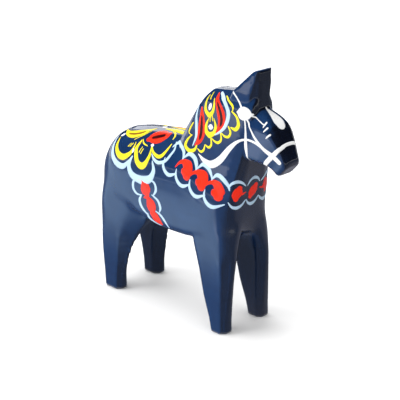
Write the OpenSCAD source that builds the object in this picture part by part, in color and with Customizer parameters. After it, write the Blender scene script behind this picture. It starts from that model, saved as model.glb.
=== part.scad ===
// Carved and painted wooden horse, standing, head toward +X, soles on z = 0.
// The block is cut in profile and then whittled, so it is built as a few tapered limbs,
// each a chain of cross-sections joined two by two. The decoration is a thin layer of
// paint that follows the wood: each motif is its own film, face to face with the block.

/* [Overall] */
// Height from the soles to the ear tips
horse_height = 130; // [120:1:140]
// Length from the rump to the lips
horse_length = 122.4; // [114:0.2:132]
// Thickness of a painted stroke
paint_thickness = 0.2; // [0.15:0.05:0.4]

/* [Stance] */
// Distance between the middles of the front and rear soles
wheelbase = 77; // [70:0.5:84]
// Distance between the middles of a left and a right sole
track = 26.4; // [24:0.2:30]

/* [Body] */
// Width of the barrel
barrel_width = 34.6; // [31:0.2:38]
// Height of the belly above the ground
belly_height = 43; // [40:0.5:47]
// Height of the back behind the neck
back_height = 90; // [87:0.5:93]

/* [Hidden] */

drawn = [122.4, 130];             // the length and height that the stations below are drawn for
middle = 0.65;                    // x of the middle of that length
w = barrel_width / 2;
front = wheelbase / 2 - 8;        // middle of the front soles
rear = front - wheelbase;         // middle of the rear soles

// ---------- sections and lofts ----------

// Corner of a section: an elliptical cut of size c at corner p, toward the directions d.
function corner(p, d, c, steps, flip) = [
    for (i = [0 : steps])
        let (k = 90 * (flip ? steps - i : i) / steps)
        [p[0] + d[0] * c[0] * (1 - sin(k)), p[1] + d[1] * c[1] * (1 - cos(k))]
];

// A station [a, b, t0, t1, cuts] as a ring of points: a and b are the ends of the section
// in the x-z plane, t0 and t1 its sides in y, cuts the sizes of its corners at a low, a high,
// b high and b low. grow moves the whole outline outward.
function ring(st, steps, grow) =
    let (
        len = norm(st[1] - st[0]) + 2 * grow,
        d = (st[1] - st[0]) / norm(st[1] - st[0]),
        a = st[0] - d * grow,
        t0 = st[2] - grow,
        t1 = st[3] + grow,
        c = st[4],
        outline = concat(
            corner([0, t0], [1, 1], c[0], steps, false),
            corner([0, t1], [1, -1], c[1], steps, true),
            corner([len, t1], [-1, -1], c[2], steps, false),
            corner([len, t0], [-1, 1], c[3], steps, true)
        )
    )
    [for (p = outline) [a[0] + d[0] * p[0], p[1], a[1] + d[1] * p[0]]];

// Row k of a table, held at its ends.
function row(table, k) = table[max(0, min(len(table) - 1, k))];

// Smooth curve through the rows of a table, at position t between rows k and k + 1.
function through(table, k, t) =
    let (p = row(table, k - 1), q = row(table, k), r = row(table, k + 1), s = row(table, k + 2))
    0.5 * (2 * q + t * (r - p) + t * t * (2 * p - 5 * q + 4 * r - s) + t * t * t * (3 * q - p - 3 * r + s));

// A limb: the stations joined in order, each gap divided in parts.
module loft(stations, parts, steps, grow) {
    last = len(stations) - 1;
    rows = [for (k = [0 : last - 1], i = [0 : parts - 1]) through(stations, k, i / parts), stations[last]];
    rings = [for (r = rows) ring(r, steps, grow)];
    n = len(rings[0]);
    m = len(rings);
    points = [for (r = rings, p = r) p];
    walls = [for (i = [0 : m - 2], j = [0 : n - 1])
        let (a = i * n + j, b = i * n + (j + 1) % n)
        each [[a, b + n, a + n], [a, b, b + n]]];
    ends = [[for (j = [n - 1 : -1 : 0]) j], [for (j = [0 : n - 1]) (m - 1) * n + j]];
    polyhedron(points, concat(walls, ends));
}

// ---------- the block ----------

// Barrel from the rump to the chest: [x, belly, back, half width, crown cut, keel cut]
barrel_rows = [
    [-60.5, 45, 59, 4.6, [4, 4], [3, 3]],
    [-59.2, 43, 65, 7.4, [7, 6], [3, 4]],
    [-56, 42, 72.8, 10.8, [12, 9], [4, 5]],
    [-51.5, 44, 79.2, 14.4, [17, 13], [4, 5]],
    [-45, 48.5, 84, w - 0.8, [20, 16], [4, 4]],
    [-36, 48.6, 86.6, w, [20, 16], [4, 4]],
    [-22, 45.2, 88.6, w, [20, 16], [4, 4]],
    [-8, belly_height + 0.3, back_height, w, [20, 16], [4, 4]],
    [8, belly_height + 0.6, back_height, w, [20, 16], [4, 4]],
    [20, 45.2, 85, w, [20, 16], [4, 4]],
    [29, 47, 78, w - 1, [14, 14], [4, 5]],
    [35, 49, 70, 11, [8, 8], [4, 4]]
];
barrel_stations = [for (r = barrel_rows)
    [[r[0], r[2]], [r[0], r[1]], -r[3], r[3], [r[4], r[4], r[5], r[5]]]];

// Sections that are alike on both sides: [ax, az, bx, bz, half width, cut at a, cut at b]
function paired(rows) = [for (r = rows)
    [[r[0], r[1]], [r[2], r[3]], -r[4], r[4], [r[5], r[5], r[6], r[6]]]];

// Neck from the chest up to the flat behind the ears, crest to throat
neck_rows = [
    [-11, 46.5, 32.5, 46.5, w - 5, [6, 8], [8, 9]],
    [-11, 55, 35.8, 55, w - 1.5, [6, 8], [8.4, 9]],
    [-11, 63, 36.2, 63, w - 1.4, [6, 8], [7.8, 8]],
    [-9, 74, 37.4, 74, w - 3, [6, 7.5], [7, 6.8]],
    [-5.6, 84, 39.4, 84, w - 5, [5.5, 7], [6.2, 6.2]],
    [-1.4, 92, 41, 92, w - 6.2, [5, 6.5], [5.6, 5.6]],
    [3.8, 101, 42.6, 101, w - 7.6, [4, 5], [4.8, 4.8]],
    [8.8, 109, 43.4, 109, w - 8.8, [3.5, 4], [4.2, 4.2]],
    [12, 113.2, 43.6, 114.2, w - 9.8, [3, 4], [4, 4]],
    [15, 116.4, 43, 119.6, 3.2, [0.5, 0.5], [0.5, 0.5]]
];

// Head from the poll to the lips, ridge to jaw
head_rows = [
    [43.6, 111.8, 28, 88.5, 8.6, [8, 5.6], [2, 2]],
    [48.2, 109.4, 39, 88, 8.8, [5, 4.4], [2, 2.5]],
    [52.8, 106.2, 45.5, 87.4, 8.2, [2.6, 2.8], [2, 2.5]],
    [56.8, 100.8, 50, 86.6, 7, [2.2, 2.6], [2, 2.5]],
    [60.2, 95, 53, 84.4, 5.8, [2.4, 2.8], [2, 2.5]],
    [61.8, 91.2, 54.8, 83, 5.4, [2.4, 2.6], [2, 2]],
    [61.4, 88.6, 57, 83.6, 4.2, [1, 1.4], [1, 1.4]]
];

// Ears: one wedge, upright at the front, back to front
ear_rows = [
    [26, 112, 43.6, 112, 7.4, [1, 1], [4, 4]],
    [29.5, 118.6, 43.7, 118, 7.1, [1, 1], [3.9, 3.9]],
    [35, 124, 44.1, 123.5, 6.3, [1, 1], [2.8, 2.8]],
    [40.5, 129.2, 44, 129, 5.4, [0.4, 0.8], [1.6, 2.2]],
    [42.2, 130, 44, 130, 5, [0.2, 0.8], [0.8, 2]]
];

// Legs: [z, back x, front x, inner y, outer y, cuts at back inner, back outer, front outer and
// front inner corner], x and y from the middle of the sole
front_leg_rows = [
    [0, -5.6, 4.6, -4.2, 4.3, [2.6, 2.6], [2.4, 2.4], [2.4, 2.4], [2.4, 2.4]],
    [7, -7.6, 4.8, -4.3, 4.3, [2.8, 2.8], [2.8, 2.8], [2.8, 2.8], [2.8, 2.8]],
    [18, -11.6, 5.4, -4.7, 4.2, [3, 3], [3, 3], [3.4, 3.4], [3.2, 3.2]],
    [30, -15, 6.2, -5.3, 4.1, [3.6, 3.6], [3.6, 3.6], [4.4, 4.4], [3.6, 3.6]],
    [41, -18.8, 6.9, -7, 4, [4, 4], [4, 4], [5.4, 5.4], [4, 4]],
    [50, -21, 6.5, -10, 3.7, [4, 4], [4, 4], [5.8, 5.8], [4, 4]],
    [62, -22, 4.4, -12.5, 2.6, [4, 4], [4, 4], [6.2, 6.2], [4, 4]]
];
rear_leg_rows = [
    [0, -5, 7.4, -3.8, 4.5, [3.4, 3], [2.4, 2.4], [2.6, 2.6], [2.8, 2.8]],
    [8.5, -6, 8.6, -4, 4.4, [3.8, 3.4], [2.8, 2.8], [3.4, 3.4], [4.4, 4]],
    [16, -7.2, 10.6, -4.4, 4.3, [4, 3.6], [3.2, 3.2], [4.6, 4.2], [6, 5]],
    [24, -8.6, 12.9, -5.2, 4.2, [4, 4], [4, 4], [6.4, 5], [7, 5]],
    [31, -9.8, 15.8, -6.4, 4.1, [4, 4], [5.2, 5], [8.6, 5.6], [6, 4]],
    [39, -11.2, 21, -8.5, 4, [4, 4], [6.4, 6], [11, 6], [4, 3]],
    [47, -12.6, 25, -11.5, 3.6, [4, 4], [7.4, 7], [12, 6], [2, 2]],
    [56, -13, 25, -12.6, 3.2, [4, 4], [9.6, 9], [12, 6], [2, 2]],
    [68, -10.8, 22, -12.8, 2.6, [4, 4], [11.5, 10], [12, 6], [2, 2]]
];
function leg(rows, x) = [for (r = rows)
    [[x + r[1], r[0]], [x + r[2], r[0]], track / 2 + r[3], track / 2 + r[4],
        [r[5], r[6], r[7], r[8]]]];

module both_sides() {
    children();
    mirror([0, 1, 0]) children();
}

// The whole block, its faces moved outward by grow.
module block(grow = 0) {
    loft(barrel_stations, 3, 5, grow);
    loft(paired(neck_rows), 2, 2, grow);
    loft(paired(head_rows), 2, 1, grow);
    loft(paired(ear_rows), 1, 1, grow);
    both_sides() {
        loft(leg(front_leg_rows, front), 2, 1, grow);
        loft(leg(rear_leg_rows, rear), 2, 1, grow);
    }
}

// ---------- paint ----------

// Brush stroke through [u, v, width] points in a flat frame.
module brush(points) {
    last = len(points) - 1;
    marks = [for (k = [0 : last - 1], i = [0, 1]) through(points, k, i / 2), points[last]];
    for (i = [0 : len(marks) - 2])
        hull() {
            mark(marks[i]);
            mark(marks[i + 1]);
        }
}
module mark(m) translate([m[0], m[1]]) circle(d = m[2], $fn = 8);
module dot(u, v, width, height, lean = 0)
    translate([u, v]) rotate(lean) scale([width / 2, height / 2]) circle(r = 1, $fn = 14);

// Holds a flat drawing up to the block: turn swings it round from the right side toward the
// chest, tilt lays it over toward the back. It reaches from near to far along its own axis.
module held(turn, tilt, near, far)
    rotate([90 - tilt, 0, turn]) translate([0, 0, near]) linear_extrude(far - near) children();
module on_side() both_sides() held(0, 0, 1, 30) children();
module on_back() both_sides() held(0, 40, 42, 80) children();

// What lies inside a thin layer over the whole block, stretched with the block but not resized
// on its own, and kept as one mesh. The first child is the film; the others lie over it.
module paint(colour) color(colour) resize([0, 0, 0])
    scale([horse_length / drawn[0], 1, horse_height / drawn[1]]) translate([-middle, 0, 0])
    intersection() {
        difference() {
            block(paint_thickness);
            block();
        }
        difference() {
            children(0);
            if ($children > 1) children([1 : $children - 1]);
        }
    }

white = [0.96, 0.96, 0.94];
light_blue = [0.80, 0.90, 0.97];
red = [1, 0.24, 0.13];
yellow = [1, 0.92, 0.18];

// ----- bridle: rosette, noseband, straps, rein, eyelashes and blaze -----
module rosette_marks() on_side() dot(38.4, 110, 7.4, 6.2);
module noseband_marks() {
    on_side()
        brush([[58.4, 97.6, 1.6], [56.6, 95.4, 2], [54.4, 93, 2.3], [51.8, 90, 2.2], [50.2, 87.8, 1.8]]);
    held(90, 30, 92, 120) brush([[-4.2, 55.5, 1.7], [0, 56, 1.6], [4.2, 55.5, 1.7]]);
}
module strap_marks() on_side() {
    brush([[30.8, 118.2, 0.9], [33.6, 115.6, 0.8], [36.8, 112.2, 0.9]]);
    brush([[41, 109.8, 0.7], [44.6, 108.2, 0.4], [48.8, 106.7, 0.4]]);
    brush([[39.2, 107.6, 0.6], [40, 102.8, 0.8], [40.5, 94.6, 1.5], [41.4, 88.6, 0.4]]);
    brush([[40.2, 107.6, 0.7], [43, 103.6, 0.8], [45.9, 99.8, 1.3], [50, 95.9, 1.7], [54.4, 93.2, 2.3],
        [57.8, 90.6, 2.2]]);
}
module rein_marks() on_side() brush([[13.4, 85.8, 0.5], [17.4, 83.6, 2.2], [22.2, 82.9, 3.5],
    [27.2, 86.2, 3.5], [32.2, 92.6, 2.6], [36.8, 96.9, 1.3], [41, 98.3, 1], [46, 97.8, 1.2],
    [50.6, 95.6, 1.2]]);
module rosettes() paint(white) rosette_marks();
module noseband() paint(white) noseband_marks();
module head_straps() paint(white) {
    strap_marks();
    rosette_marks();
    noseband_marks();
}
module reins() paint(white) {
    rein_marks();
    strap_marks();
}
module eyelashes() paint(white) on_side() {
    brush([[49.7, 107.5, 0.9], [49.5, 106.6, 0.9], [49.4, 105.7, 0.4]]);
    brush([[51.3, 105.5, 0.9], [50.9, 104.8, 0.8], [50.4, 104, 0.4]]);
    brush([[53.3, 102.9, 0.9], [52.5, 102.1, 0.8], [51.7, 101.2, 0.4]]);
}
module blaze() paint(white) held(90, 60, 100, 130)
    brush([[0.5, 18, 0.8], [0.6, 15.8, 2.4], [0.5, 12.6, 4.4], [0.3, 9.2, 6.2], [0.2, 7.6, 5.6]]);

// ----- mane: two petals with pale contours, two rings round dots, a scalloped edge -----
module mane_contours() on_side() {
    brush([[21.6, 115.8, 1], [23.8, 114.6, 1.6], [27.4, 111.4, 2], [29.3, 107.4, 2.3],
        [28.2, 102.4, 2], [25.6, 99.2, 1.4], [22.4, 96.9, 0.6]]);
    brush([[9.6, 107.6, 0.6], [9.5, 103, 1.3], [10.2, 98, 1.7], [10.6, 93.6, 1.4], [9, 88.8, 0.5]]);
}
module mane_petals() on_side() {
    brush([[20.2, 115.4, 0.7], [21.7, 112.2, 2.5], [23.8, 108.4, 4.2], [25.4, 104.4, 4.4],
        [24.8, 101, 3], [22.9, 98.4, 0.8]]);
    brush([[12.4, 107.8, 0.7], [12.9, 104.6, 2.3], [13.5, 100.2, 3.9], [13.7, 95.6, 4.4],
        [12.9, 92, 3], [10.6, 89.6, 0.8]]);
}
module ring_marks() on_side() {
    brush([[15.9, 114, 0.4], [14.8, 110.4, 1], [15, 106.9, 1.7], [17.4, 105, 2.3]]);
    brush([[19.4, 113.2, 0.4], [19.9, 109.8, 1.2], [19.2, 106.6, 1.8], [17.4, 105, 2.3]]);
    brush([[17.5, 103.6, 0.4], [16.3, 100.2, 1.5], [16.9, 97.2, 2.2], [19, 96, 2.8]]);
    brush([[20.6, 104.2, 0.4], [22.2, 100.8, 1.5], [21.6, 97.6, 2.2], [19, 96, 2.8]]);
    brush([[18.3, 105, 0.7], [18.4, 102.2, 0.4]]);
}
module mane_blue() paint(light_blue) mane_contours();
module mane_red() paint(red) {
    mane_petals();
    mane_contours();
}
module mane_rings() paint(yellow) {
    ring_marks();
    mane_petals();
}
module mane_dots() paint(white) on_side() {
    dot(17.5, 109.1, 1.9, 3.4, -15);
    dot(19.2, 99.9, 2.7, 2.6);
}
module mane_scallops() paint(yellow) {
    on_side() {
        brush([[25.6, 115.2, 0.5], [29, 113.4, 1], [31.4, 111.8, 1.1], [31.6, 110, 0.5]]);
        brush([[31.2, 109.5, 0.7], [34.4, 107.6, 1.2], [36, 104.4, 2], [34.6, 102, 1.9], [31.6, 102.2, 0.6]]);
        brush([[30.1, 102.3, 0.8], [31.7, 100, 1.2], [30.8, 97.8, 1.3], [28.4, 97.5, 1], [26.2, 98.6, 0.4]]);
        brush([[25.9, 98.2, 0.7], [26.5, 95.4, 1.1], [24.8, 93.7, 1.3], [22.6, 93.9, 0.9], [20.4, 95, 0.4]]);
        brush([[20.1, 94.9, 0.7], [20.8, 92, 1.1], [19.4, 90.3, 1.2], [16.8, 91.1, 0.4]]);
        brush([[16.8, 90.8, 0.6], [16.4, 88.6, 1.1], [14.7, 87.2, 1.1], [12.4, 88.2, 0.4]]);
        brush([[11.6, 89.4, 0.9], [10.4, 87.2, 1.6], [7.4, 86, 2], [4.4, 87.8, 1.8], [5.4, 91, 1.1],
            [8, 93.9, 0.4]]);
        brush([[7.9, 99.6, 0.6], [6.3, 96.6, 0.9], [5.9, 94.4, 0.6], [8, 93.6, 0.4]]);
    }
    mane_contours();
    ring_marks();
}

// ----- breast band: a chain of cells from behind the shoulder round the chest -----
// Middle of a cell along the side, its height, and how far it is drawn out lengthwise.
side_cells = [[9, 77.4, 1], [18.5, 74.5, 1.04], [28.4, 71.7, 1.12]];
chest_height = 70.6;

module crescents() {
    on_side() for (c = concat([[-0.2, 80.6, 1]], side_cells)) translate([c[0], c[1]]) {
        brush([[-4 * c[2], 4.6, 0.6], [-1.4 * c[2], 7.2, 1.9], [2.2 * c[2], 6.2, 2.2],
            [4.5 * c[2], 3.6, 1.2], [4.7 * c[2], 2.5, 0.5]]);
        brush([[-6 * c[2], -0.6, 0.5], [-6 * c[2], -4, 1.5], [-4 * c[2], -6.8, 2],
            [-1.2 * c[2], -7.7, 1.7], [1.5 * c[2], -7, 0.5]]);
    }
    both_sides() for (c = [[50, 15.6], [90, 0]], s = [1, -1])
        held(c[0], 0, 1, 60) translate([c[1], chest_height])
            brush([[-3.6, s * 4.2, 0.5], [-2.2, s * 5.9, 1.2], [0, s * 6.7, 1.7], [2.4, s * 5.9, 1.2],
                [3.9, s * 4.3, 0.5]]);
}
module side_commas() {
    on_side() for (c = side_cells) translate([c[0], c[1]])
        brush([[-7 * c[2], 0.3, 0.6], [-5.2 * c[2], 2.6, 1.4], [-2.8 * c[2], 3.4, 2.6], [-0.2, 2, 5.6],
            [0.4, -0.6, 6.4 * c[2]], [0.8, -2.2, 4.6]]);
    both_sides() held(50, 0, 1, 60) {
        brush([[15.2, 68.4, 2.6], [15.4, 70.2, 4.6], [16.4, 72.4, 4.6], [17, 73.8, 2.6]]);
        brush([[16.8, 71.4, 2.2], [18.6, 70.6, 1.3], [20.2, 71, 0.4]]);
    }
}
module chest_comma() held(90, 0, 1, 60)
    brush([[-1.2, 68, 2.8], [-0.4, 69.6, 5], [1, 71.4, 5], [1.8, 72.8, 3]]);
module breast_blue() paint(light_blue) {
    crescents();
    saddle_cups();
    rein_marks();
}
module breast_flames() paint(red) side_commas();
module chest_flame() paint(red) chest_comma();

// ----- girth: a shorter chain from the saddle down to the belly -----
module girth_commas() on_side() {
    brush([[-22.8, 65.2, 0.8], [-20.4, 65.2, 2.4], [-18.4, 62.6, 6.6], [-17.6, 60.2, 6.4], [-17, 58.8, 3.4]]);
    brush([[-19, 56.8, 0.8], [-16.8, 57.2, 2.2], [-14.6, 54.8, 6.2], [-13.4, 52.4, 5.8], [-12.6, 50.8, 2.8]]);
    brush([[-14.2, 49.8, 1.4], [-11.6, 48.9, 4.6], [-8.8, 47.2, 3.4], [-6.4, 46, 0.8]]);
}
module girth_blue() paint(light_blue) {
    on_side() {
        brush([[-23, 65.6, 0.5], [-26.4, 63.6, 1.4], [-26.8, 60, 1.6], [-24.4, 57.6, 1.2], [-20.8, 57.6, 0.5]]);
        brush([[-15.4, 67.4, 0.6], [-11.6, 66.2, 1.3], [-10.6, 62.8, 1.6], [-12.6, 59.4, 0.6]]);
        brush([[-20.6, 58, 0.5], [-22.3, 54.8, 1.6], [-20.8, 51.4, 1.6], [-16.6, 48.4, 0.7]]);
        brush([[-13.4, 59.6, 0.6], [-9.4, 57.8, 1.4], [-7.6, 54.6, 1.6], [-8.2, 52, 0.6]]);
        brush([[-16.6, 48.8, 1.2], [-15.4, 46.8, 1.6], [-11.4, 45.4, 0.9], [-7.6, 45, 0.4]]);
        brush([[-10.8, 51.8, 0.5], [-7.4, 50.6, 1.2], [-4.2, 48, 1.2], [-1.8, 45.4, 0.5]]);
    }
    girth_commas();
    saddle_cups();
}
module girth_flames() paint(red) girth_commas();

// ----- saddle: petals round a point on the back, over yellow and blue cups -----
module saddle_cups() on_back() {
    brush([[-46.8, 55.6, 0.6], [-46.6, 50.6, 2], [-44, 45.6, 2.6], [-39.4, 42.6, 2.8], [-34, 42.4, 2.4],
        [-29.6, 46.2, 0.8]]);
    brush([[-28.6, 47.6, 1], [-30.2, 43.6, 2.6], [-28.4, 40.4, 3.2], [-24.6, 39.2, 3.2], [-19.4, 39.2, 3.6],
        [-14.4, 41, 3], [-12.4, 44.6, 2.4], [-14, 48.4, 0.6]]);
    brush([[-15.6, 51.4, 0.6], [-13.2, 49.4, 1.4], [-9.4, 48.6, 1.7], [-5, 50.8, 1.5], [-2.4, 56.2, 1.2],
        [-3.8, 60.8, 0.5]]);
}
module saddle_arcs() on_back() {
    brush([[-43.5, 55.4, 0.6], [-43.2, 51.2, 2], [-40.2, 47.4, 2.8], [-35.6, 46.2, 3], [-31.2, 48.4, 2.2],
        [-29.4, 51.6, 1.2], [-29.6, 54.8, 0.4]]);
    brush([[-26.2, 56.6, 0.8], [-27.2, 51.8, 2.2], [-25.4, 47.4, 2.8], [-21.4, 44.8, 3], [-18, 47.4, 2.4],
        [-16.8, 51.4, 1.5], [-17.6, 55, 0.4]]);
    brush([[-17, 54.6, 0.5], [-14.6, 52.2, 1.4], [-10.6, 51.2, 1.8], [-7.6, 53.4, 1.6], [-5.8, 58.8, 0.6]]);
}
module red_petal() on_back()
    brush([[-22.6, 58.2, 1.4], [-20.8, 59.4, 5.4], [-17.8, 60.8, 8.4], [-14.8, 61.9, 8], [-12.8, 63.2, 4.6],
        [-12, 64.2, 1.4]]);
module yellow_petals() on_back() {
    brush([[-43, 60.6, 0.8], [-39.4, 58.8, 3.2], [-34.4, 58.8, 5], [-29.6, 60.8, 4.2], [-26.4, 63.4, 2],
        [-24.2, 65.4, 0.5]]);
    brush([[-18.8, 66.7, 0.5], [-13.6, 67.2, 1.8], [-7, 67.2, 2.4], [-2.6, 66.4, 1.6], [0.4, 65.4, 0.5]]);
}
module dot_marks() {
    held(0, 90, 60, 100) dot(-21.6, 0, 2.8, 2.6);
    on_back() {
        dot(-42.8, 57.2, 3.2, 1.8, 30);
        dot(-29.3, 50.6, 1.8, 2.4);
        dot(-17.6, 55.6, 2, 1.8);
    }
}
module saddle_blue() paint(light_blue) saddle_cups();
module saddle_yellow() paint(yellow) {
    saddle_arcs();
    saddle_cups();
    dot_marks();
}
module saddle_red() paint(red) {
    red_petal();
    dot_marks();
}
module saddle_petals() paint(yellow) {
    yellow_petals();
    red_petal();
    dot_marks();
}
module saddle_curls() paint(yellow) {
    on_back() {
        brush([[-12.2, 66, 0.4], [-9.6, 65.4, 0.8], [-7.6, 63.6, 0.9], [-7.2, 61.4, 0.4]]);
        brush([[-25.6, 57.2, 0.4], [-24, 55.4, 0.8], [-20.6, 54.6, 0.4]]);
        brush([[-33.6, 51.8, 0.6], [-32.4, 53.6, 0.5]]);
        brush([[-32.2, 52, 0.6], [-31, 54, 0.5]]);
        brush([[-24.6, 50.6, 0.6], [-23.6, 53.4, 0.5]]);
        brush([[-23.4, 50.2, 0.6], [-22.4, 52.6, 0.5]]);
    }
    saddle_arcs();
    yellow_petals();
    red_petal();
    dot_marks();
}
module saddle_dots() paint(white) dot_marks();

module carved_body() color([0.1, 0.23, 0.43]) resize([horse_length, 0, horse_height])
    translate([-middle, 0, 0]) block();

carved_body();
rosettes();
noseband();
head_straps();
reins();
eyelashes();
blaze();
mane_blue();
mane_red();
mane_rings();
mane_dots();
mane_scallops();
breast_blue();
breast_flames();
chest_flame();
girth_blue();
girth_flames();
saddle_blue();
saddle_yellow();
saddle_red();
saddle_petals();
saddle_curls();
saddle_dots();
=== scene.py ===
import math

import bmesh
import bpy
import numpy as np
from mathutils import Matrix, Vector


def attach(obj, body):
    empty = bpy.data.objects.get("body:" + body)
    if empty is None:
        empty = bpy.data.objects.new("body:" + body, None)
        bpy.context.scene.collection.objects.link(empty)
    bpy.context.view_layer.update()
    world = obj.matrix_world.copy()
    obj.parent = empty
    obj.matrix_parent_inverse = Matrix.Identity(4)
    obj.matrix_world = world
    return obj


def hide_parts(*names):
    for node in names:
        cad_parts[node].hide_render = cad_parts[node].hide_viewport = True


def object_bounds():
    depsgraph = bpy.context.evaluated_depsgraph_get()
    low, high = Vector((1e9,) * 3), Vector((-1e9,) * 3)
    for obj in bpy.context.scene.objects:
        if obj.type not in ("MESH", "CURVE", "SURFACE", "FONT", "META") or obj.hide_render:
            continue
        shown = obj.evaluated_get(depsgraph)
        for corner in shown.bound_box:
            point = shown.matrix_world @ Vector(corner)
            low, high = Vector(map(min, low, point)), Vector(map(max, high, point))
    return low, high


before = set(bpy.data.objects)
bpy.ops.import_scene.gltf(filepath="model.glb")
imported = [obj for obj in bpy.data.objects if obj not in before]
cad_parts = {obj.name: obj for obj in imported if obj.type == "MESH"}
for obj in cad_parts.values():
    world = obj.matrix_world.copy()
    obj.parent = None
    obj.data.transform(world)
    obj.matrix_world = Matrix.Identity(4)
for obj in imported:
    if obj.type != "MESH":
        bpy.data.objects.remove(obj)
cad_low, cad_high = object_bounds()
MM = 0.001


# ---------------------------------------------------------------- camera
# A long lens at the right front of the horse, a little above its back. It comes first because
# the studio at the end is set round what it sees.

lens_turn, lens_rise = math.radians(44.38), math.radians(20.82)
lens_distance = 0.6
lens_aim = Vector((1.91, 0.0, 56.53)) * MM
toward_lens = Vector((math.sin(lens_turn) * math.cos(lens_rise),
                      -math.cos(lens_turn) * math.cos(lens_rise),
                      math.sin(lens_rise)))


def link(name, data):
    """A mesh, camera or light as an object at the origin."""
    thing = bpy.data.objects.new(name, data)
    bpy.context.scene.collection.objects.link(thing)
    return thing


camera = link("camera", bpy.data.cameras.new("camera"))
camera.data.sensor_width = 36.0
camera.data.lens = 110.0
camera.data.clip_start, camera.data.clip_end = 0.02, 20.0
camera.location = lens_aim + toward_lens * lens_distance
camera.rotation_mode = "QUATERNION"
camera.rotation_quaternion = (-toward_lens).to_track_quat("-Z", "Y")
bpy.context.scene.camera = camera


# ---------------------------------------------------------------- the carved block
# One piece of slow-grown pine, sawn to the horse's profile, whittled with a knife, sanded, dipped
# in filler and lacquered dark blue. The knife facets stay, with edges that the sanding and the
# lacquer have rounded to about a millimetre.

voxel = 0.62 * MM
edge_rounds = 30
limb_rounds = 200
hollow_rounds = 90


def finished(thing, material, *nodes):
    """Smooth, in its material, riding on the root and standing for its nodes."""
    mesh = thing.data
    mesh.polygons.foreach_set("use_smooth", np.ones(len(mesh.polygons), dtype=bool))
    mesh.materials.clear()
    mesh.materials.append(material)
    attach(thing, "root")
    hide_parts(*nodes)


def points_of(mesh):
    """The vertices of a mesh as an array of rows x, y, z."""
    flat = np.empty(len(mesh.vertices) * 3)
    mesh.vertices.foreach_get("co", flat)
    return flat.reshape(-1, 3)


def eased(points, edges, rounds, keep=0.5, push=-0.52, where=1.0):
    """Taubin smoothing: each point moves part of the way to the mean of its neighbours, then
    a little further back, so edges round off and the volume stays. where scales the moves."""
    count = np.bincount(edges.ravel(), minlength=len(points))[:, None]
    for _ in range(rounds):
        for share in (keep, push):
            total = np.zeros_like(points)
            for axis in range(3):
                total[:, axis] = (
                    np.bincount(edges[:, 0], points[edges[:, 1], axis], len(points))
                    + np.bincount(edges[:, 1], points[edges[:, 0], axis], len(points)))
            points = points + where * share * (total / count - points)
    return points


def ramp(value, low, high):
    """0 below low, 1 above high, straight between."""
    return np.clip((value - low) / (high - low), 0, 1)


def whittled(node):
    """The node's shell, merged, rebuilt as an even skin of small quads and eased."""
    source = bpy.data.meshes.new("block")
    shell = bmesh.new()
    shell.from_mesh(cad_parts[node].data)
    bmesh.ops.remove_doubles(shell, verts=shell.verts, dist=1e-6)
    shell.to_mesh(source)
    shell.free()
    rough = link("rough_block", source)
    remesh = rough.modifiers.new("skin", "REMESH")
    remesh.mode = "VOXEL"
    remesh.voxel_size = voxel
    skin = bpy.data.meshes.new_from_object(
        rough.evaluated_get(bpy.context.evaluated_depsgraph_get()))
    bpy.data.objects.remove(rough)
    edges = np.empty(len(skin.edges) * 2, dtype=np.int64)
    skin.edges.foreach_get("vertices", edges)
    edges = edges.reshape(-1, 2)
    points = eased(points_of(skin), edges, edge_rounds)
    # the shoulders and thighs, where the limbs grow out of the barrel, are sanded rounder
    z = points[:, 2] / MM
    limbs = ramp(z, 22, 40) * ramp(-z, -84, -72)
    points = eased(points, edges, limb_rounds, where=limbs[:, None])
    # and most of all the fronts of the shoulders and the hollows before the haunches
    x, z = points[:, 0] / MM, points[:, 2] / MM
    breast = ramp(x, 18, 24) * ramp(z, 36, 44) * ramp(-z, -70, -62)
    haunch = ramp(-x, 26, 34) * ramp(z, 30, 40) * ramp(-z, -80, -72)
    hollows = 0.9 * np.maximum(breast, haunch)
    points = eased(points, edges, hollow_rounds, push=0.0, where=hollows[:, None])
    points[:, 2] = np.maximum(points[:, 2], 0.0)
    points = np.clip(points, np.array(cad_low), np.array(cad_high))
    skin.vertices.foreach_set("co", points.ravel())
    skin.update()
    return skin


class Sock:
    """A node's output that can be used in an expression."""

    def __init__(self, made, socket):
        self.made = made
        self.socket = socket

    def _math(self, operation, left, right):
        return self.made.node("ShaderNodeMath", {"operation": operation}, {0: left, 1: right})

    def __add__(self, other):
        return self._math("ADD", self, other)

    def __radd__(self, other):
        return self._math("ADD", other, self)

    def __sub__(self, other):
        return self._math("SUBTRACT", self, other)

    def __rsub__(self, other):
        return self._math("SUBTRACT", other, self)

    def __mul__(self, other):
        return self._math("MULTIPLY", self, other)

    def __rmul__(self, other):
        return self._math("MULTIPLY", other, self)


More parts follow.
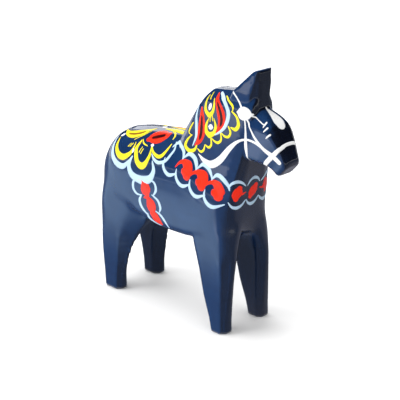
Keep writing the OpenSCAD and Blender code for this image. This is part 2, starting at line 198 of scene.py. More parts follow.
class Finish:
    """A node material. node() adds any node, and the rest are short names for common ones."""

    def __init__(self, name):
        self.material = bpy.data.materials.new(name)
        self.material.use_nodes = True
        self.tree = self.material.node_tree
        self.tree.nodes.clear()

    def node(self, kind, settings=None, values=None, out=0):
        made = self.tree.nodes.new(kind)
        for key, value in (settings or {}).items():
            setattr(made, key, value)
        for key, value in (values or {}).items():
            socket = made.inputs[key]
            if isinstance(value, Sock):
                self.tree.links.new(value.socket, socket)
            elif socket.type == "RGBA" and len(value) == 3:
                socket.default_value = (*value, 1.0)
            else:
                socket.default_value = value
        return Sock(self, made.outputs[out]) if made.outputs else None

    def place(self, stretch=(1.0, 1.0, 1.0)):
        where = self.node("ShaderNodeTexCoord", out="Object")
        return self.node("ShaderNodeMapping", {}, {"Vector": where, "Scale": stretch})

    def split(self, vector):
        """The x, y and z of a vector."""
        first = self.node("ShaderNodeSeparateXYZ", {}, {0: vector})
        return [Sock(self, socket) for socket in first.socket.node.outputs]

    def noise(self, where, scale, detail=3.0, roughness=0.55):
        return self.node("ShaderNodeTexNoise", {}, {
            "Vector": where, "Scale": scale, "Detail": detail, "Roughness": roughness})

    def steps(self, value, low, high):
        """0 below low, 1 above high, smooth between."""
        return self.node("ShaderNodeMapRange", {"interpolation_type": "SMOOTHSTEP"},
                         {"Value": value, "From Min": low, "From Max": high})

    def mix(self, factor, first, second):
        return self.node("ShaderNodeMix", {"data_type": "RGBA"},
                         {0: factor, 6: first, 7: second}, out=2)

    def bump(self, height, strength, distance, under=None):
        values = {"Height": height, "Strength": strength, "Distance": distance}
        if under is not None:
            values["Normal"] = under
        return self.node("ShaderNodeBump", {}, values)

    def done(self, **values):
        sockets = {key.replace("_", " "): value for key, value in values.items()}
        shader = self.node("ShaderNodeBsdfPrincipled", {}, sockets)
        self.node("ShaderNodeOutputMaterial", {}, {"Surface": shader})
        return self.material


def navy_lacquer():
    """Deep blue lacquer: faint cloudiness in the colour, soft waves from the knife and the
    brush, a fine ripple of the grain under it, and a clear hard gloss over all. Painted shade
    turns it nearly black on what faces forward and on the inner faces of the legs."""
    f = Finish("navy_lacquer")
    cloud = f.noise(f.place(), 60.0, 4.0)
    grain = f.noise(f.place((30.0, 260.0, 260.0)), 1.0, 3.0)
    colour = f.mix(f.steps(cloud, 0.3, 0.75), (0.0065, 0.027, 0.090), (0.0085, 0.036, 0.115))
    colour = f.mix(f.steps(grain, 0.45, 0.8) * 0.25, colour, (0.005, 0.020, 0.068))
    side, height = f.split(f.node("ShaderNodeTexCoord", out="Object"))[1:]
    ahead, aside = f.split(f.node("ShaderNodeNewGeometry", out="Normal"))[:2]
    # painted shade: faces turned forward are darkened nearly to black, fully on the head and three
    # quarters lower down
    front = f.steps(ahead, 0.4, 0.8) * (0.75 + 0.25 * f.steps(height, 0.075, 0.1))
    # painted shade: the inner faces of the legs, below the belly, darken toward black as if the
    # other legs shaded them
    inward = f.steps(-1.0 * side * aside, 0.002, 0.006)
    painted_leg_shade = inward * (1.0 - f.steps(height, 0.035, 0.055)) * 0.65
    colour = f.mix(f.node("ShaderNodeMath", {"operation": "MAXIMUM"}, {0: front, 1: painted_leg_shade}),
                   colour, (0.004, 0.006, 0.014))
    waves = f.bump(f.noise(f.place(), 95.0, 1.0), 0.25, 0.0005)
    ripple = f.bump(grain, 0.06, 0.0001, waves)
    return f.done(
        Base_Color=colour,
        Roughness=0.14 + 0.06 * cloud,
        Normal=ripple,
        IOR=1.5,
        Coat_Weight=0.6,
        Coat_Roughness=0.04,
    )


block = link("carved_horse", whittled("carved_body"))
finished(block, navy_lacquer(), "carved_body")


# ---------------------------------------------------------------- white enamel: the bridle
# Lines of white enamel laid with a round brush on the finished lacquer: rosettes below the ears,
# straps over the crown and cheeks, a noseband, reins, eyelashes and a drop-shaped blaze.

enamel_dome = 0.17 * MM
enamel_root = 0.12 * MM
enamel_skin = 0.01 * MM
mark_spacing = 0.35
# widths in mm: the thinnest line that the brush leaves, what is left at the very tip of a mark
# to keep it closed, and the half width from which a mark stands at its full height
thinnest = 0.3
tip = 0.004
full_half = 0.8
cap_rows = 5
# where the middle of the horse's length lies, in mm, on the drawing of the marks
middle = 0.65


def curve_through(marks, spacing):
    """Catmull-Rom curve through rows of u, v, width (and more), sampled about every spacing."""
    marks = np.array(marks, dtype=float)
    ends = np.vstack([marks[:1], marks, marks[-1:]])
    rows = []
    for k in range(len(marks) - 1):
        p, q, r, s = ends[k], ends[k + 1], ends[k + 2], ends[k + 3]
        count = max(2, int(np.ceil(np.hypot(*(r - q)[:2]) / spacing)))
        t = (np.arange(count) / count)[:, None]
        rows.append(0.5 * (2 * q + t * (r - p) + t * t * (2 * p - 5 * q + 4 * r - s)
                           + t ** 3 * (3 * q - p - 3 * r + s)))
    rows.append(marks[-1:])
    return np.vstack(rows)


def ribbon(marks, across=9, spacing=mark_spacing):
    """A brush mark laid flat: the curve through the marks with round ends, and at each of its
    points a row across it, left to right. Gives u, v, place along in mm, place across -1 to 1."""
    line = curve_through(marks, spacing)
    half = np.maximum(line[:, 2], thinnest) / 2
    way = np.gradient(line[:, :2], axis=0)
    way /= np.linalg.norm(way, axis=1)[:, None]
    cap = np.cos(np.linspace(0.0, math.pi / 2, cap_rows))[:, None]
    rise = np.sin(np.linspace(0.0, math.pi / 2, cap_rows))
    front = line[0, :2] - way[0] * half[0] * cap
    back = line[-1, :2] + way[-1] * half[-1] * cap[::-1]
    spine = np.vstack([front[:-1], line[:, :2], back[1:]])
    ways = np.vstack([np.tile(way[0], (cap_rows - 1, 1)), way,
                      np.tile(way[-1], (cap_rows - 1, 1))])
    halves = np.concatenate([half[0] * rise[:-1], half, half[-1] * rise[::-1][1:]])
    halves = np.maximum(halves, tip)
    side = np.stack([-ways[:, 1], ways[:, 0]], axis=1)
    lane = np.linspace(-1.0, 1.0, across)
    flat = spine[:, None, :] + side[:, None, :] * (halves[:, None] * lane)[..., None]
    run = np.concatenate([[0.0], np.cumsum(np.hypot(*np.diff(spine, axis=0).T))])
    along = np.repeat(run[:, None], across, axis=1)
    return flat, along, np.tile(lane, (len(spine), 1)), halves


def spot(u, v, width, height, lean=0.0):
    """A dab: a short fat brush mark that fills an ellipse of that width and height."""
    turn = math.radians(lean)
    if height >= width:
        axis, long, wide = (-math.sin(turn), math.cos(turn)), height, width
    else:
        axis, long, wide = (math.cos(turn), math.sin(turn)), width, height
    at = np.sin(np.linspace(-1.0, 1.0, 7) * 1.35)
    return [(u + axis[0] * k * long / 2, v + axis[1] * k * long / 2,
             wide * math.sqrt(1 - k * k)) for k in at]


def held(turn, tilt):
    """Right, up and outward directions of a flat drawing that is swung round from the right side
    by turn and laid over toward the back by tilt."""
    a, b = math.radians(turn), math.radians(tilt)
    right = np.array([math.cos(a), math.sin(a), 0.0])
    up = np.array([-math.sin(a) * math.sin(b), math.cos(a) * math.sin(b), math.cos(b)])
    return np.stack([right, up, np.cross(right, up)])


def pressed(points, axes):
    """Moves points in metres along -axes[2] onto the block, with a shrinkwrap in a frame that is
    turned to those axes."""
    sheet = bpy.data.meshes.new("sheet")
    sheet.from_pydata(points @ axes.T, [], [])
    thing = link("sheet", sheet)
    thing.matrix_world = Matrix(axes.T.tolist()).to_4x4()
    wrap = thing.modifiers.new("press", "SHRINKWRAP")
    wrap.target = block
    wrap.wrap_method = "PROJECT"
    wrap.use_project_x = wrap.use_project_y = False
    wrap.use_project_z = True
    wrap.use_positive_direction = False
    wrap.use_negative_direction = True
    close = thing.modifiers.new("close", "SHRINKWRAP")
    close.target = block
    close.wrap_method = "NEAREST_SURFACEPOINT"
    bpy.context.view_layer.update()
    made = thing.evaluated_get(bpy.context.evaluated_depsgraph_get()).to_mesh()
    onto = points_of(made) @ axes
    bpy.data.objects.remove(thing)
    bpy.data.meshes.remove(sheet)
    return onto


class Brushwork:
    """The brush marks of one piece: gathered flat, pressed onto the block and domed."""

    def __init__(self, name):
        self.name = name
        self.marks = []

    def mark(self, points, turn=0, tilt=0, both=True, core=0.0, lift=1.0, across=9, far=42.0):
        for side in ((1.0, -1.0) if both else (1.0,)):
            self.marks.append((ribbon(points, across), (turn, tilt, far, side), core, lift))

    def build(self, material, *nodes):
        """Every mark becomes a closed blister: its top is the pressed sheet raised by
        dome * sqrt(1 - across^2), its underside the same sheet sunk into the wood."""
        pressed_marks = {}
        for view in sorted({mark[1] for mark in self.marks}):
            turn, tilt, far, side = view
            axes = held(turn, tilt) * [1.0, side, 1.0]
            mine = [k for k, mark in enumerate(self.marks) if mark[1] == view]
            flat = np.vstack([self.marks[k][0][0].reshape(-1, 2) for k in mine])
            lifted = np.hstack([flat, np.full((len(flat), 1), far)])
            world = (lifted @ axes - [middle, 0.0, 0.0]) * MM
            cuts = np.cumsum([self.marks[k][0][2].size for k in mine])[:-1]
            for k, part in zip(mine, np.split(pressed(world, axes), cuts)):
                pressed_marks[k] = part
        points, faces, strokes, cores = [], [], [], []
        start = 0
        for k, ((flat, along, lane, halves), view, core, lift) in enumerate(self.marks):
            rows, across = lane.shape
            sheet = pressed_marks[k].reshape(rows, across, 3)
            normal = np.cross(np.gradient(sheet, axis=0), np.gradient(sheet, axis=1)) * -view[3]
            normal /= np.linalg.norm(normal, axis=2)[..., None] + 1e-20
            swell = np.sqrt(np.clip(1 - lane ** 2, 0, 1))[..., None]
            full = np.clip(halves / full_half, 0.25, 1.0)[:, None, None]
            top = sheet + normal * (enamel_dome * lift * full * swell + enamel_skin)
            under = sheet - normal * enamel_root * np.maximum(swell, 0.3)
            size = rows * across
            points += [top.reshape(-1, 3), under.reshape(-1, 3)]
            grid = np.arange(size).reshape(rows, across)
            upper = np.stack([grid[:-1, :-1], grid[:-1, 1:], grid[1:, 1:], grid[1:, :-1]], -1)
            upper = upper.reshape(-1, 4)
            rim = np.concatenate([grid[0], grid[1:, -1], grid[-1, -2::-1], grid[-2:0:-1, 0]])
            after = np.roll(rim, -1)
            wall = np.stack([after, rim, rim + size, after + size], -1)
            shell = np.concatenate([upper, upper[:, ::-1] + size, wall])
            faces.append((shell[:, ::-1] if view[3] > 0 else shell) + start)
            stroke = np.stack([along.ravel() * 0.1 + 3.7 * k, lane.ravel() * 0.5 + 0.5], 1)
            strokes += [stroke, stroke]
            part = along / max(along.max(), 1e-6)
            inside = np.clip(2.4 * np.sin(part * math.pi) - 0.8, 0, 1)
            dark = core * np.exp(-(lane / 0.5) ** 2) * inside
            cores.append(np.tile(dark.ravel(), 2))
            start += 2 * size
        mesh = bpy.data.meshes.new(self.name)
        mesh.from_pydata(np.vstack(points), [], np.vstack(faces))
        layer = mesh.uv_layers.new(name="stroke")
        corners = np.empty(len(mesh.loops), dtype=np.int64)
        mesh.loops.foreach_get("vertex_index", corners)
        layer.data.foreach_set("uv", np.vstack(strokes)[corners].ravel())
        shade = mesh.attributes.new("core", "FLOAT", "POINT")
        shade.data.foreach_set("value", np.concatenate(cores))
        mesh.update()
        finished(link(self.name, mesh), material, *nodes)


def enamel(name, colour, thin, core=(0.03, 0.003, 0.004), streak=0.35, edge=0.5):
    """Gloss enamel from a loaded brush: bristle streaks run along the mark, the paint is thinner
    at its edges so that the lacquer below dulls it, and a second colour can lie down its core."""
    f = Finish(name)
    stroke = f.node("ShaderNodeUVMap", {"uv_map": "stroke"})
    across = f.split(stroke)[1]
    combed = f.node("ShaderNodeMapping", {}, {"Vector": stroke, "Scale": (2.5, 11.0, 1.0)})
    bristles = f.noise(combed, 1.0, 3.0, 0.6)
    off = f.node("ShaderNodeMath", {"operation": "ABSOLUTE"}, {0: across - 0.5}) * 2.0
    worn = f.steps(off + (bristles - 0.5) * 0.5, 0.72, 1.05) * edge
    dull = f.steps(bristles, 0.52, 0.8) * streak
    paint = f.mix(dull, colour, thin)
    paint = f.mix(worn, paint, thin)
    deep = f.node("ShaderNodeAttribute", {"attribute_name": "core"}, out=2)
    paint = f.mix(f.steps(deep + (bristles - 0.5) * 0.5, 0.35, 0.75), paint, core)
    ridges = f.bump(bristles, 0.25, 0.0001)
    return f.done(Base_Color=paint, Roughness=0.22 + 0.15 * bristles, Normal=ridges, IOR=1.36,
                  Coat_Weight=0.15, Coat_Roughness=0.06)


white = enamel("white_enamel", (0.86, 0.86, 0.85), (0.52, 0.58, 0.68), streak=0.25, edge=0.6)

piece = Brushwork("bridle_rosettes")
piece.mark(spot(38.4, 110, 7.4, 6.2), across=13, lift=1.2)
piece.build(white, "rosettes")

piece = Brushwork("bridle_noseband")
piece.mark([[58.2, 97.4, 1.6], [56.6, 95.4, 2.0], [54.4, 93.0, 2.3], [51.8, 90.0, 2.2],
            [50.2, 87.8, 1.8]])
piece.mark([[-4.2, 55.5, 1.7], [-2.0, 55.9, 1.6], [0.0, 56.0, 1.6], [2.0, 55.9, 1.6],
            [4.2, 55.5, 1.7]],
           turn=90, tilt=30, both=False, far=130.0)
piece.build(white, "noseband")

piece = Brushwork("bridle_straps")
piece.mark([[30.8, 118.2, 0.9], [33.6, 115.6, 0.8], [36.8, 112.2, 0.9]])
piece.mark([[41.0, 109.8, 0.7], [44.6, 108.2, 0.4], [48.8, 106.7, 0.4]])
piece.mark([[39.2, 107.6, 0.6], [40.0, 102.8, 0.8], [40.5, 94.6, 1.5], [41.4, 88.6, 0.4]])
piece.mark([[40.2, 107.6, 0.7], [43.0, 103.6, 0.8], [45.9, 99.8, 1.3], [50, 95.9, 1.7],
            [54.4, 93.2, 2.3], [57.8, 90.6, 2.2]])
piece.build(white, "head_straps")

piece = Brushwork("bridle_reins")
piece.mark([[13.4, 85.8, 0.5], [17.4, 83.6, 2.2], [22.2, 82.9, 3.5], [27.2, 86.2, 3.5],
            [32.2, 92.6, 2.6],
            [36.8, 96.9, 1.3], [41, 98.3, 1.0], [46, 97.8, 1.2], [50.6, 95.6, 1.2]])
piece.build(white, "reins")

piece = Brushwork("eyelashes")
for lash in ([[49.7, 107.5, 0.9], [49.5, 106.6, 0.9], [49.4, 105.7, 0.4]],
             [[51.3, 105.5, 0.9], [50.9, 104.8, 0.8], [50.4, 104.0, 0.4]],
             [[53.3, 102.9, 0.9], [52.5, 102.1, 0.8], [51.7, 101.2, 0.4]]):
    piece.mark(lash)
piece.build(white, "eyelashes")

piece = Brushwork("blaze")
piece.mark([[0.7, 18.0, 0.8], [0.8, 15.8, 2.2], [0.8, 12.6, 4.2], [0.6, 9.2, 6.0], [0.5, 7.6, 5.4]],
           turn=90, tilt=60, both=False, far=130.0, across=13, lift=1.2)
piece.build(white, "blaze")


# ---------------------------------------------------------------- the mane's ornament
# On each side of the neck a bunch of brush marks in four enamels: two flame-like petals with a
# dark heart and a pale contour, two yellow rings round white dots, and a yellow scalloped edge.

pale_blue = enamel("pale_blue_enamel", (0.50, 0.67, 0.82), (0.26, 0.40, 0.60),
                   streak=0.45, edge=0.6)
red = enamel("red_enamel", (0.95, 0.026, 0.005), (0.6, 0.014, 0.008), streak=0.3, edge=0.35)
yellow = enamel("yellow_enamel", (0.95, 0.80, 0.02), (0.30, 0.27, 0.03), core=(0.22, 0.07, 0.01),
                streak=0.45, edge=0.8)

piece = Brushwork("mane_contours")
piece.mark([[21.6, 115.8, 1.0], [23.8, 114.6, 1.6], [27.4, 111.4, 2.0], [29.3, 107.4, 2.3],
            [28.2, 102.4, 2.0], [25.6, 99.2, 1.4], [22.4, 96.9, 0.6]])
piece.mark([[9.6, 107.6, 0.6], [9.5, 103, 1.3], [10.2, 98, 1.7], [10.6, 93.6, 1.4],
            [9.0, 88.8, 0.5]])
piece.build(pale_blue, "mane_blue")

piece = Brushwork("mane_petals")
piece.mark([[20.2, 115.4, 0.7], [21.7, 112.2, 2.5], [23.9, 108.4, 4.4], [25.5, 104.4, 4.6],
            [24.8, 101, 3.0], [22.9, 98.4, 0.8]], core=1.0, lift=1.1, across=13)
piece.mark([[12.4, 107.8, 0.7], [12.9, 104.6, 2.3], [13.4, 100.2, 4.0], [13.6, 95.6, 4.6],
            [12.7, 92.0, 3.0], [10.6, 89.6, 0.8]], core=1.0, lift=1.1, across=13)
piece.build(red, "mane_red")

piece = Brushwork("mane_rings")
for ring in ([[15.9, 114.0, 0.4], [14.8, 110.4, 1.0], [15.0, 106.9, 1.7], [17.4, 105.0, 2.3]],
             [[19.4, 113.2, 0.4], [19.9, 109.8, 1.2], [19.2, 106.6, 1.8], [17.4, 105.0, 2.3]],
             [[17.5, 103.6, 0.4], [16.3, 100.2, 1.5], [16.9, 97.2, 2.2], [19.0, 96.0, 2.8]],
             [[20.6, 104.2, 0.4], [22.2, 100.8, 1.5], [21.6, 97.6, 2.2], [19.0, 96.0, 2.8]],
             [[16.9, 115.2, 0.4], [17.2, 112.6, 0.6]],
             [[18.3, 105.0, 0.7], [18.4, 102.2, 0.4]],
             [[19.2, 105.6, 0.7], [20.1, 103.0, 0.5]]):
    piece.mark(ring)
piece.build(yellow, "mane_rings")

piece = Brushwork("mane_dots")
piece.mark(spot(17.5, 109.1, 1.9, 3.4, -15))
piece.mark(spot(19.2, 99.9, 2.7, 2.6))
piece.build(white, "mane_dots")

piece = Brushwork("mane_scallops")
for arc in ([[25.6, 115.2, 0.5], [29.0, 113.4, 1.0], [31.4, 111.8, 1.1], [31.6, 110.0, 0.5]],
            [[31.2, 109.5, 0.7], [34.4, 107.6, 1.2], [36.0, 104.4, 2.0], [34.6, 102.0, 1.9],
             [31.6, 102.2, 0.6]],
            [[30.1, 102.3, 0.8], [31.7, 100.0, 1.2], [30.8, 97.8, 1.3], [28.4, 97.5, 1.0],
             [26.2, 98.6, 0.4]],
            [[25.9, 98.2, 0.7], [26.5, 95.4, 1.1], [24.8, 93.7, 1.3], [22.6, 93.9, 0.9],
             [20.4, 95.0, 0.4]],
            [[20.1, 94.9, 0.7], [20.8, 92.0, 1.1], [19.4, 90.3, 1.2], [16.8, 91.1, 0.4]],
            [[16.8, 90.8, 0.6], [16.4, 88.6, 1.1], [14.7, 87.2, 1.1], [12.4, 88.2, 0.4]],
            [[11.6, 89.4, 0.9], [10.4, 87.2, 1.6], [7.4, 86.0, 2.0], [4.4, 87.8, 1.8],
             [5.4, 91.0, 1.1], [8.0, 93.9, 0.4]],
            [[7.9, 99.6, 0.6], [6.3, 96.6, 0.9], [5.9, 94.4, 0.6], [8.0, 93.6, 0.4]]):
    piece.mark(arc)
piece.build(yellow, "mane_scallops")


# ---------------------------------------------------------------- the breast band
# A chain of cells from behind each shoulder round the chest: pale blue crescents above and below,
# and in each cell a red comma whose thin tail reaches back to the one before.

# middle of each cell along the side, its height, and how far it is drawn out lengthwise
side_cells = [(9.0, 77.4, 1.0), (18.5, 74.5, 1.04), (28.4, 71.7, 1.12)]
chest_height = 70.6

piece = Brushwork("breast_crescents")
for u, v, s in [(-0.2, 80.6, 1.0), *side_cells]:
    piece.mark([[u - 4.0 * s, v + 4.6, 0.6], [u - 1.4 * s, v + 7.2, 1.9],
                [u + 2.2 * s, v + 6.2, 2.2],
                [u + 4.6 * s, v + 3.4, 1.4], [u + 5.2 * s, v + 1.4, 0.5]])
    piece.mark([[u - 6.0 * s, v - 0.6, 0.5], [u - 6.0 * s, v - 4.0, 1.5],
                [u - 4.0 * s, v - 6.8, 2.0],
                [u - 1.0 * s, v - 7.7, 1.9], [u + 3.4 * s, v - 5.8, 0.6]])
for turn, u, both in ((50, 15.6, True), (90, 0.0, False)):
    for s in (1.0, -1.0):
        piece.mark([[u - 4.0, chest_height + s * 3.6, 0.5], [u - 2.4, chest_height + s * 5.8, 1.2],
                    [u, chest_height + s * 6.7, 1.7], [u + 2.6, chest_height + s * 5.8, 1.2],
                    [u + 4.4, chest_height + s * 3.8, 0.5]], turn=turn, both=both, far=60.0)
piece.build(pale_blue, "breast_blue")

piece = Brushwork("breast_commas")
for u, v, s in side_cells:
    piece.mark([[u - 7.0 * s, v + 0.3, 0.6], [u - 5.2 * s, v + 2.6, 1.4],
                [u - 2.8 * s, v + 3.4, 2.6],
                [u - 0.2, v + 2.0, 5.6], [u + 0.4, v - 0.6, 6.4 * s], [u + 0.8, v - 2.2, 4.6]],
               lift=1.2, across=13)
piece.mark([[15.2, 68.4, 2.6], [15.4, 70.2, 4.6], [16.4, 72.4, 4.6], [17.0, 73.8, 2.6]],
           turn=50, far=60.0, lift=1.2, across=13)
piece.mark([[16.8, 71.4, 2.2], [18.6, 70.6, 1.3], [20.2, 71.0, 0.4]], turn=50, far=60.0)
piece.build(red, "breast_flames")

piece = Brushwork("chest_comma")
piece.mark([[-1.2, 68.0, 2.8], [-0.4, 69.6, 5.0], [1.0, 71.4, 5.0], [1.8, 72.8, 3.0]],
           turn=90, both=False, far=60.0, lift=1.2, across=13)
piece.build(red, "chest_flame")


# ---------------------------------------------------------------- the girth
# The same kind of chain, smaller, from the saddle down to the edge of the belly.

piece = Brushwork("girth_crescents")
for arc in ([[-23.0, 65.6, 0.5], [-26.4, 63.6, 1.4], [-26.8, 60.0, 1.6], [-24.4, 57.6, 1.2],
             [-20.8, 57.6, 0.5]],
            [[-15.4, 67.4, 0.6], [-11.6, 66.2, 1.3], [-10.6, 62.8, 1.6], [-12.6, 59.4, 0.6]],
            [[-20.6, 58.0, 0.5], [-22.3, 54.8, 1.6], [-20.8, 51.4, 1.6], [-16.6, 48.4, 0.7]],
            [[-13.4, 59.6, 0.6], [-9.4, 57.8, 1.4], [-7.6, 54.6, 1.6], [-8.2, 52.0, 0.6]],
            [[-16.6, 48.8, 1.2], [-15.4, 46.8, 1.6], [-11.4, 45.4, 0.9], [-7.6, 45.0, 0.4]],
            [[-10.8, 51.8, 0.5], [-7.4, 50.6, 1.2], [-4.2, 48.0, 1.2], [-1.8, 45.4, 0.5]]):
    piece.mark(arc)
piece.build(pale_blue, "girth_blue")

piece = Brushwork("girth_commas")
piece.mark([[-22.8, 65.2, 0.8], [-20.4, 65.2, 2.4], [-18.4, 62.6, 6.6], [-17.6, 60.2, 6.4],
            [-17.0, 58.8, 3.4]],
           lift=1.2, across=13)
piece.mark([[-19.0, 56.8, 0.8], [-16.8, 57.2, 2.2], [-14.6, 54.8, 6.2], [-13.4, 52.4, 5.8],
            [-12.6, 50.8, 2.8]],
           lift=1.2, across=13)
piece.mark([[-14.2, 49.8, 1.4], [-11.6, 48.9, 4.6], [-8.8, 47.2, 3.4], [-6.4, 46.0, 0.8]], lift=1.2)
piece.build(red, "girth_flames")


# ---------------------------------------------------------------- the saddle
# A rosette of petals round a point on the back: a red petal with a dark heart on each side,
# yellow ones before and behind, and below them cups of yellow in cups of pale blue.

over_back = {"tilt": 40, "far": 110.0}

piece = Brushwork("saddle_cups")
for cup in ([[-46.8, 55.6, 0.6], [-46.6, 50.6, 2.0], [-44.0, 45.6, 2.6], [-39.4, 42.6, 2.8],
             [-34.0, 42.4, 2.4], [-29.6, 46.2, 0.8]],
            [[-28.6, 47.6, 1.0], [-30.2, 43.6, 2.6], [-28.4, 40.4, 3.2], [-24.6, 39.2, 3.2],
             [-19.4, 39.2, 3.6], [-14.4, 41.0, 3.0], [-12.4, 44.6, 2.4], [-14.0, 48.4, 0.6]],
            [[-15.6, 51.4, 0.6], [-13.2, 49.4, 1.4], [-9.4, 48.6, 1.7], [-5.0, 50.8, 1.5],
             [-2.4, 56.2, 1.2], [-3.8, 60.8, 0.5]]):
    piece.mark(cup, **over_back)
piece.build(pale_blue, "saddle_blue")

piece = Brushwork("saddle_arcs")
for arc in ([[-43.5, 55.4, 0.6], [-43.2, 51.2, 2.0], [-40.2, 47.4, 2.8], [-35.6, 46.2, 3.0],
             [-31.2, 48.4, 2.2], [-29.4, 51.6, 1.2], [-29.6, 54.8, 0.4]],
            [[-26.2, 56.6, 0.8], [-27.2, 51.8, 2.2], [-24.8, 46.4, 2.8], [-21.2, 44.8, 3.0],
             [-18.2, 46.8, 2.5], [-16.8, 51.4, 1.5], [-17.6, 55.0, 0.4]],
            [[-17.0, 54.6, 0.5], [-14.6, 52.2, 1.4], [-10.6, 51.2, 1.8], [-7.6, 53.4, 1.6],
             [-5.8, 58.8, 0.6]]):
    piece.mark(arc, **over_back)
piece.build(yellow, "saddle_yellow")

piece = Brushwork("saddle_red_petal")
piece.mark([[-22.2, 58.0, 2.6], [-20.6, 59.2, 6.2], [-17.8, 60.6, 8.4], [-14.8, 61.9, 8.0],
            [-12.8, 63.2, 5.0], [-12.2, 64.0, 2.6]], core=0.8, lift=1.2, across=13, **over_back)
piece.build(red, "saddle_red")

piece = Brushwork("saddle_yellow_petals")
piece.mark([[-43.0, 60.6, 0.8], [-39.4, 58.8, 3.2], [-34.4, 58.8, 5.0], [-29.6, 60.8, 4.2],
            [-26.4, 63.4, 2.0], [-24.2, 65.4, 0.5]], core=0.75, lift=1.1, across=13, **over_back)
piece.mark([[-18.8, 66.7, 0.5], [-13.6, 67.2, 1.8], [-7.0, 67.2, 2.4], [-2.6, 66.4, 1.6],
            [0.4, 65.4, 0.5]],
           lift=1.1, **over_back)
piece.build(yellow, "saddle_petals")

piece = Brushwork("saddle_curls")
for curl in ([[-12.2, 66.0, 0.4], [-9.6, 65.4, 0.8], [-7.6, 63.6, 0.9], [-7.2, 61.4, 0.4]],
             [[-25.6, 57.2, 0.4], [-24.0, 55.4, 0.8], [-20.6, 54.6, 0.4]],
             [[-31.4, 56.0, 0.4], [-28.0, 59.0, 0.5], [-24.6, 63.0, 0.3]],
             [[-33.6, 51.8, 0.6], [-32.4, 53.6, 0.5]],
             [[-32.2, 52.0, 0.6], [-31.0, 54.0, 0.5]],
             [[-24.6, 50.6, 0.6], [-23.6, 53.4, 0.5]],
             [[-23.4, 50.2, 0.6], [-22.4, 52.6, 0.5]]):
    piece.mark(curl, **over_back)
piece.build(yellow, "saddle_curls")

piece = Brushwork("saddle_dots")
piece.mark(spot(-21.6, 0.0, 2.8, 2.6), tilt=90, both=False, far=120.0)
piece.mark(spot(-42.8, 57.2, 3.2, 1.8, 30), **over_back)
piece.mark(spot(-29.3, 50.6, 1.8, 2.4), **over_back)
piece.mark(spot(-17.6, 55.6, 2.0, 1.8), **over_back)
piece.build(white, "saddle_dots")


# ---------------------------------------------------------------- studio
# A pale floor that fills the view, a broad soft light at the right rear, one from above, a low
# one at the left rear and a pale room. A black card and a lit table shape what the lacquer gets.

def slab(name, low, high, z):
    """A flat rectangle from corner low to corner high at height z."""
    mesh = bpy.data.meshes.new(name)
    mesh.from_pydata([(low[0], low[1], z), (high[0], low[1], z), (high[0], high[1], z),
                      (low[0], high[1], z)], [], [(0, 1, 2, 3)])
    thing = link(name, mesh)
    return thing


def softbox(name, at, aim, size, power):
    """A rectangular area light at a place in metres, turned to its aim."""
    light = link(name, bpy.data.lights.new(name, "AREA"))
    light.data.shape = "RECTANGLE"
    light.data.size, light.data.size_y = size
    light.data.energy = power
    light.location = at
    light.rotation_euler = (Vector(aim) - Vector(at)).to_track_quat("-Z", "Y").to_euler()
    return light


# heights in metres: the floor just under the hooves, the card and the table just over it
floor_height, card_height, table_height = -0.0002, 0.0006, 0.001
floor = slab("floor", (-4.0, -4.0), (4.0, 4.0), floor_height)
f = Finish("pale_floor")
floor.data.materials.append(
    f.done(Base_Color=(0.88, 0.88, 0.88), Roughness=0.8, Specular_IOR_Level=0.0))

# a black card lies on the floor under the horse and off its chest and left side, so that little
# light bounces onto those faces; its underside is clear, so that the floor below stays pale
card_mesh = bpy.data.meshes.new("black_card")
outline = [(-0.09, -0.012), (0.045, -0.012), (0.045, -0.03), (0.7, -0.03), (0.7, 0.9), (-0.09, 0.9)]
card_mesh.from_pydata([(x, y, card_height) for x, y in outline], [], [(0, 1, 4, 5), (1, 2, 3, 4)])
card = link("black_card", card_mesh)
card.visible_camera = card.visible_shadow = card.visible_glossy = False
f = Finish("black_card")
below = f.node("ShaderNodeNewGeometry", out="Backfacing")
black = f.node("ShaderNodeBsdfDiffuse", {}, {"Color": (0.01, 0.01, 0.012)})
clear = f.node("ShaderNodeBsdfTransparent")
f.node("ShaderNodeOutputMaterial", {}, {"Surface": f.node(
    "ShaderNodeMixShader", {}, {0: below, 1: black, 2: clear})})
card.data.materials.append(f.material)

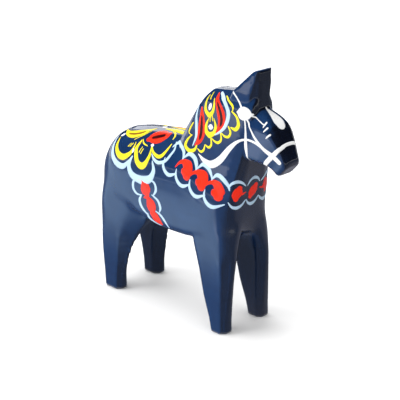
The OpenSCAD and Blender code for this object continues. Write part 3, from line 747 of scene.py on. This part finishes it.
# a lit table top that only the gloss of the lacquer sees, printed in pale areas: blue-white off the
# right side, brighter where the cheeks mirror it, dim off the chest, nearly dark elsewhere
table = slab("lit_table", (-0.9, -0.9), (0.9, 0.9), table_height)
for ray in ("camera", "diffuse", "shadow", "transmission", "volume_scatter"):
    setattr(table, "visible_" + ray, False)
f = Finish("lit_table")
place = f.node("ShaderNodeTexCoord", out="Object")
ahead, left = f.split(place)[:2]
reach = f.node("ShaderNodeVectorMath", {"operation": "LENGTH"}, {0: place}, out=1)
back, near = 0.0 - ahead, 0.0 - left
beside = (f.steps(back, -0.045, 0.03) * f.steps(near, 0.042, 0.105)
          * (1.0 - f.steps(near, 0.25, 0.29)))
gap = (f.steps(near, 0.128, 0.140) * (1.0 - f.steps(near, 0.165, 0.178))
       * f.steps(back, 0.085, 0.100) * (1.0 - f.steps(back, 0.155, 0.170)))
beyond = f.steps(near, 0.170, 0.200) * f.steps(back, 0.125, 0.165)
shown = f.mix(f.steps(near, 0.165, 0.195), (0.92, 1.22, 1.55), (1.5, 1.75, 2.2))
shown = f.mix(beside * (1.0 - 0.9 * gap) * (1.0 - beyond), (0.16, 0.18, 0.24), shown)
chest = f.steps(left, -0.02, 0.03) * f.steps(ahead, -0.02, 0.03) * (1.0 - f.steps(reach, 0.24, 0.3))
shown = f.mix(chest, shown, (0.36, 0.36, 0.42))
table.data.materials.append(f.done(Base_Color=(0.0, 0.0, 0.0), Specular_IOR_Level=0.0,
                                   Emission_Color=shown, Emission_Strength=1.0))
key = softbox("key", (-1.8, -2.2, 1.8), (0.0, 0.0, 0.05), (2.0, 2.0), 50.0)
key.visible_glossy = False
top = softbox("top", (-1.2, 0.0, 2.6), (0.0, 0.0, 0.05), (2.5, 2.5), 58.0)
top.visible_glossy = False
softbox("rim", (-0.9, 0.9, 0.5), (0.0, 0.0, 0.08), (0.9, 0.5), 2.5)

# the room is pale, but its walls are too far off to show in the lacquer
room = bpy.data.worlds.new("room")
bpy.context.scene.world = room
room.use_nodes = True
room.node_tree.nodes["Background"].inputs["Color"].default_value = (1.0, 1.0, 1.0, 1.0)
room.node_tree.nodes["Background"].inputs["Strength"].default_value = 0.92
room.cycles_visibility.glossy = False
bpy.context.scene.view_settings.view_transform = "Standard"
